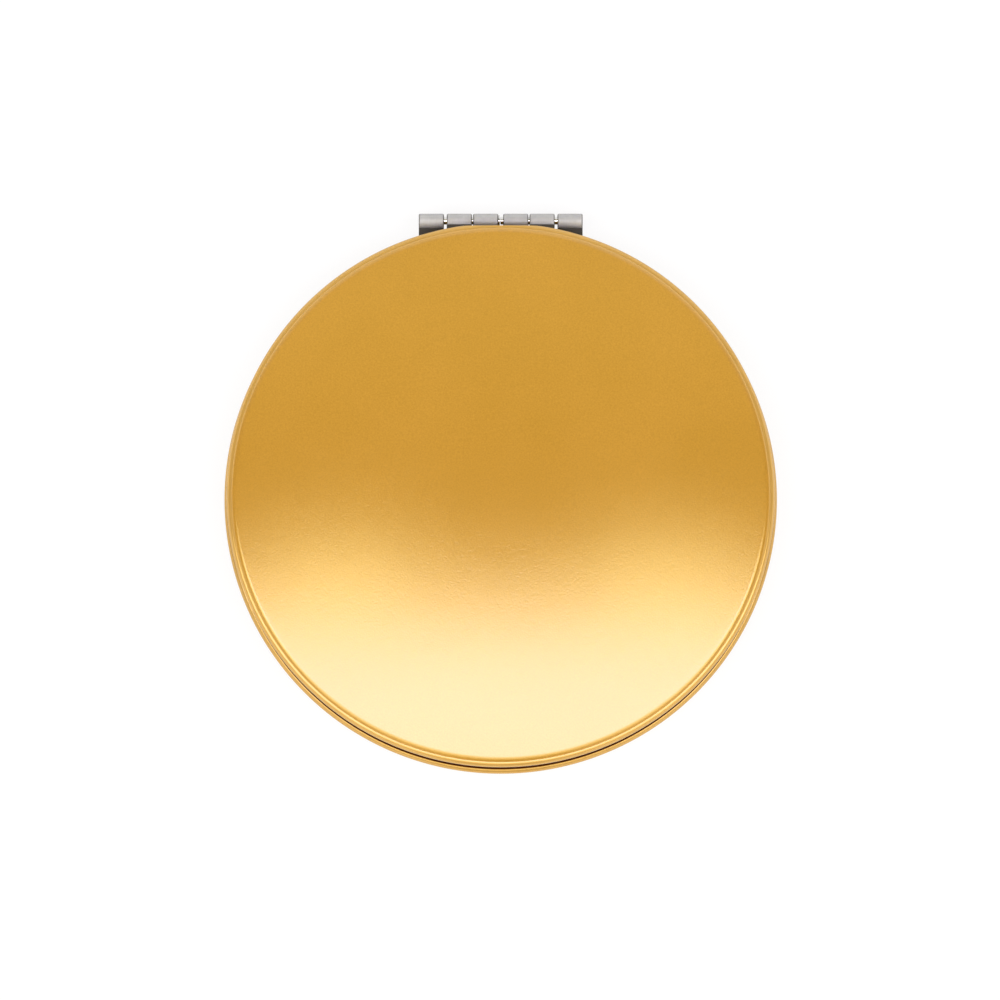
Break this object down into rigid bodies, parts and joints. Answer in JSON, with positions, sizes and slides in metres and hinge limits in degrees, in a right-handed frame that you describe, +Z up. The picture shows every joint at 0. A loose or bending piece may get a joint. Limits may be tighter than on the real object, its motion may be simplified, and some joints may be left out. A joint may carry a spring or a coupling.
{
  "type": "compact mirror",
  "caption": "Round folding pocket mirror with domed gold metal shells, a beaded rim, side-by-side steel hinges at the back and a mirror set in a ring inside each half.",
  "frame": {"origin": "centre of the flat foot under the base", "axes": "+Z up through the closed case, +Y towards the hinge at the back, +X to the right seen from the front"},
  "size_m": [0.07, 0.0712, 0.0103],
  "materials": {
    "gold_shell": "satin",
    "gold_frame": "gloss",
    "mirror_glass": "polished",
    "foam_tape": "matte",
    "backing_sheet": "matte",
    "magnet_plating": "polished",
    "rivet_steel": "satin",
    "hinge_steel": "satin",
    "pin_steel": "polished"
  },
  "bodies": {
    "base": {"base_shell": "gold_shell", "base_frame": "gold_frame", "base_mirror": "mirror_glass", "base_mirror_tape": "foam_tape", "base_backing_plate": "backing_sheet", "base_magnet": "magnet_plating", "base_hinge_rivets": "rivet_steel", "hinge_lower_leaf_left": "hinge_steel", "hinge_lower_leaf_right": "hinge_steel", "hinge_pin_left": "pin_steel", "hinge_pin_right": "pin_steel"},
    "lid": {"lid_shell": "gold_shell", "lid_frame": "gold_frame", "lid_mirror": "mirror_glass", "lid_mirror_tape": "foam_tape", "lid_backing_plate": "backing_sheet", "lid_magnet": "magnet_plating", "lid_hinge_rivets": "rivet_steel", "hinge_upper_leaf_left": "hinge_steel", "hinge_upper_leaf_right": "hinge_steel"}
  },
  "joints": [
    {"name": "lid_hinge", "type": "hinge", "parent": "base", "child": "lid", "pos_m": [0, 0.03534, 0.00515], "axis": [-1, 0, 0], "range_deg": [0, 180]}
  ]
}
